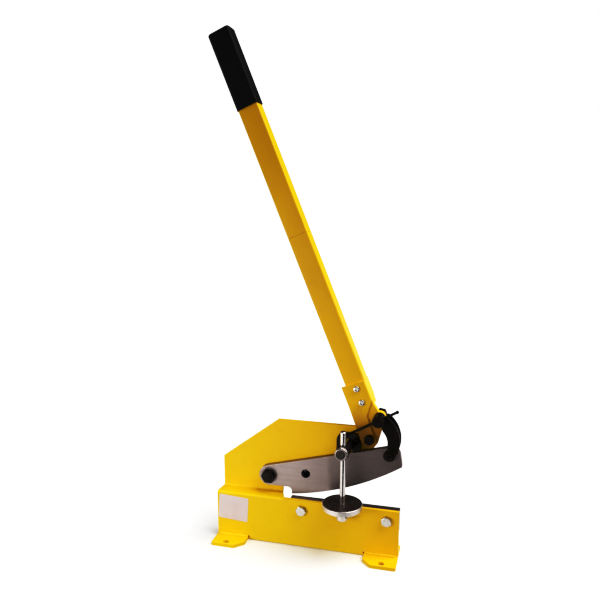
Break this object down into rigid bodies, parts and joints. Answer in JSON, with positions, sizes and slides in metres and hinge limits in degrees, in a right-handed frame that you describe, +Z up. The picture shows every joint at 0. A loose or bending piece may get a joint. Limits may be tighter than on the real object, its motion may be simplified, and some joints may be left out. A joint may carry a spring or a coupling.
{
  "type": "hand lever plate shear",
  "caption": "Bench-mounted hand shear for plate and round bar, with a long lever, crescent links, curved moving blade and an adjustable hold-down",
  "frame": {"origin": "centre of the four bolt holes in the feet, on the bench surface", "axes": "+X along the blades towards the open end of the jaw, +Y from the front of the machine to its back, +Z up from the bench"},
  "size_m": [0.3465, 0.1171, 0.9158],
  "materials": {
    "yellow_paint": "semi-gloss golden yellow enamel, light orange peel and small chips at the edges",
    "label": "plain blank adhesive label",
    "blade_steel": "ground tool steel, fine lengthwise grinding marks",
    "bare_steel": "turned and oiled bare steel",
    "zinc": "bright zinc-plated fasteners",
    "black_steel": "black oxide, satin",
    "black_casting": "black casting, fine grain",
    "chrome": "bright plated round rod",
    "turned_steel": "turned steel, concentric tool marks",
    "grip_rubber": "black moulded rubber, satin"
  },
  "bodies": {
    "frame": {"frame_plate": "yellow_paint", "rear_foot_left": "yellow_paint", "rear_foot_right": "yellow_paint", "blank_label": "label", "lower_blade": "blade_steel", "lower_blade_bolts": "zinc", "round_bar_bush": "bare_steel", "blade_pivot_bush": "bare_steel", "blade_pivot_washers": "zinc", "blade_pivot_bolt": "black_steel", "blade_pivot_nut": "black_steel", "lever_pivot_bush": "bare_steel", "holddown_bracket": "black_casting", "holddown_bracket_bolt": "black_steel"},
    "moving_blade": {"moving_blade": "blade_steel"},
    "lever": {"lever_bracket": "yellow_paint", "lever_nose_plate": "yellow_paint", "lever_pivot_bolt": "black_steel", "lever_pivot_spacer": "zinc", "lever_pivot_washers": "black_steel", "lever_pivot_nut": "black_steel", "lever_tube_lower": "yellow_paint", "lever_tube_upper": "yellow_paint", "lever_joiner": "bare_steel", "lever_grip": "grip_rubber", "lever_bracket_bolts": "zinc", "lever_bracket_nuts": "zinc"},
    "links": {"link_front": "black_steel", "link_rear": "black_steel", "link_pin_lower": "black_steel", "link_nut_upper": "black_steel"},
    "lock_screw": {"lock_screw": "black_steel"},
    "tommy_bar": {"tommy_bar": "black_steel"},
    "holddown_post": {"holddown_post": "chrome", "holddown_disc": "turned_steel", "holddown_grub_screw": "black_steel"},
    "holddown_knob": {"holddown_knob": "black_steel"}
  },
  "joints": [
    {"name": "lever_swing", "type": "hinge", "parent": "frame", "child": "lever", "pos_m": [0.1134, 0.0301, 0.2165], "axis": [0, 1, 0], "range_deg": [0, 110]},
    {"name": "blade_swing", "type": "hinge", "parent": "frame", "child": "moving_blade", "pos_m": [-0.074, 0.0211, 0.1262], "axis": [0, 1, 0], "range_deg": [0, 17.77]},
    {"name": "link_swing", "type": "hinge", "parent": "lever", "child": "links", "pos_m": [0.1304, 0.0211, 0.25649], "axis": [0, 1, 0], "range_deg": [-104.83, 0]},
    {"name": "lock_screw_turn", "type": "hinge", "parent": "lever", "child": "lock_screw", "pos_m": [0.1304, 0.0211, 0.25649], "axis": [0, -1, 0], "range_deg": [0, 90]},
    {"name": "tommy_bar_slide", "type": "slide", "parent": "lock_screw", "child": "tommy_bar", "axis": [0.8704, 0, 0.4924], "range_m": [-0.02, 0.046]},
    {"name": "post_slide", "type": "slide", "parent": "frame", "child": "holddown_post", "axis": [0, 0, 1], "range_m": [-0.003, 0.07]},
    {"name": "knob_turn", "type": "hinge", "parent": "frame", "child": "holddown_knob", "pos_m": [0.0726, -0.037, 0.2035], "axis": [0, -1, 0], "range_deg": [0, 360]}
  ],
  "couplings": [
    {"joint": "blade_swing", "follows": "lever_swing", "ratio": 0.16149},
    {"joint": "link_swing", "follows": "lever_swing", "ratio": -0.95291}
  ]
}
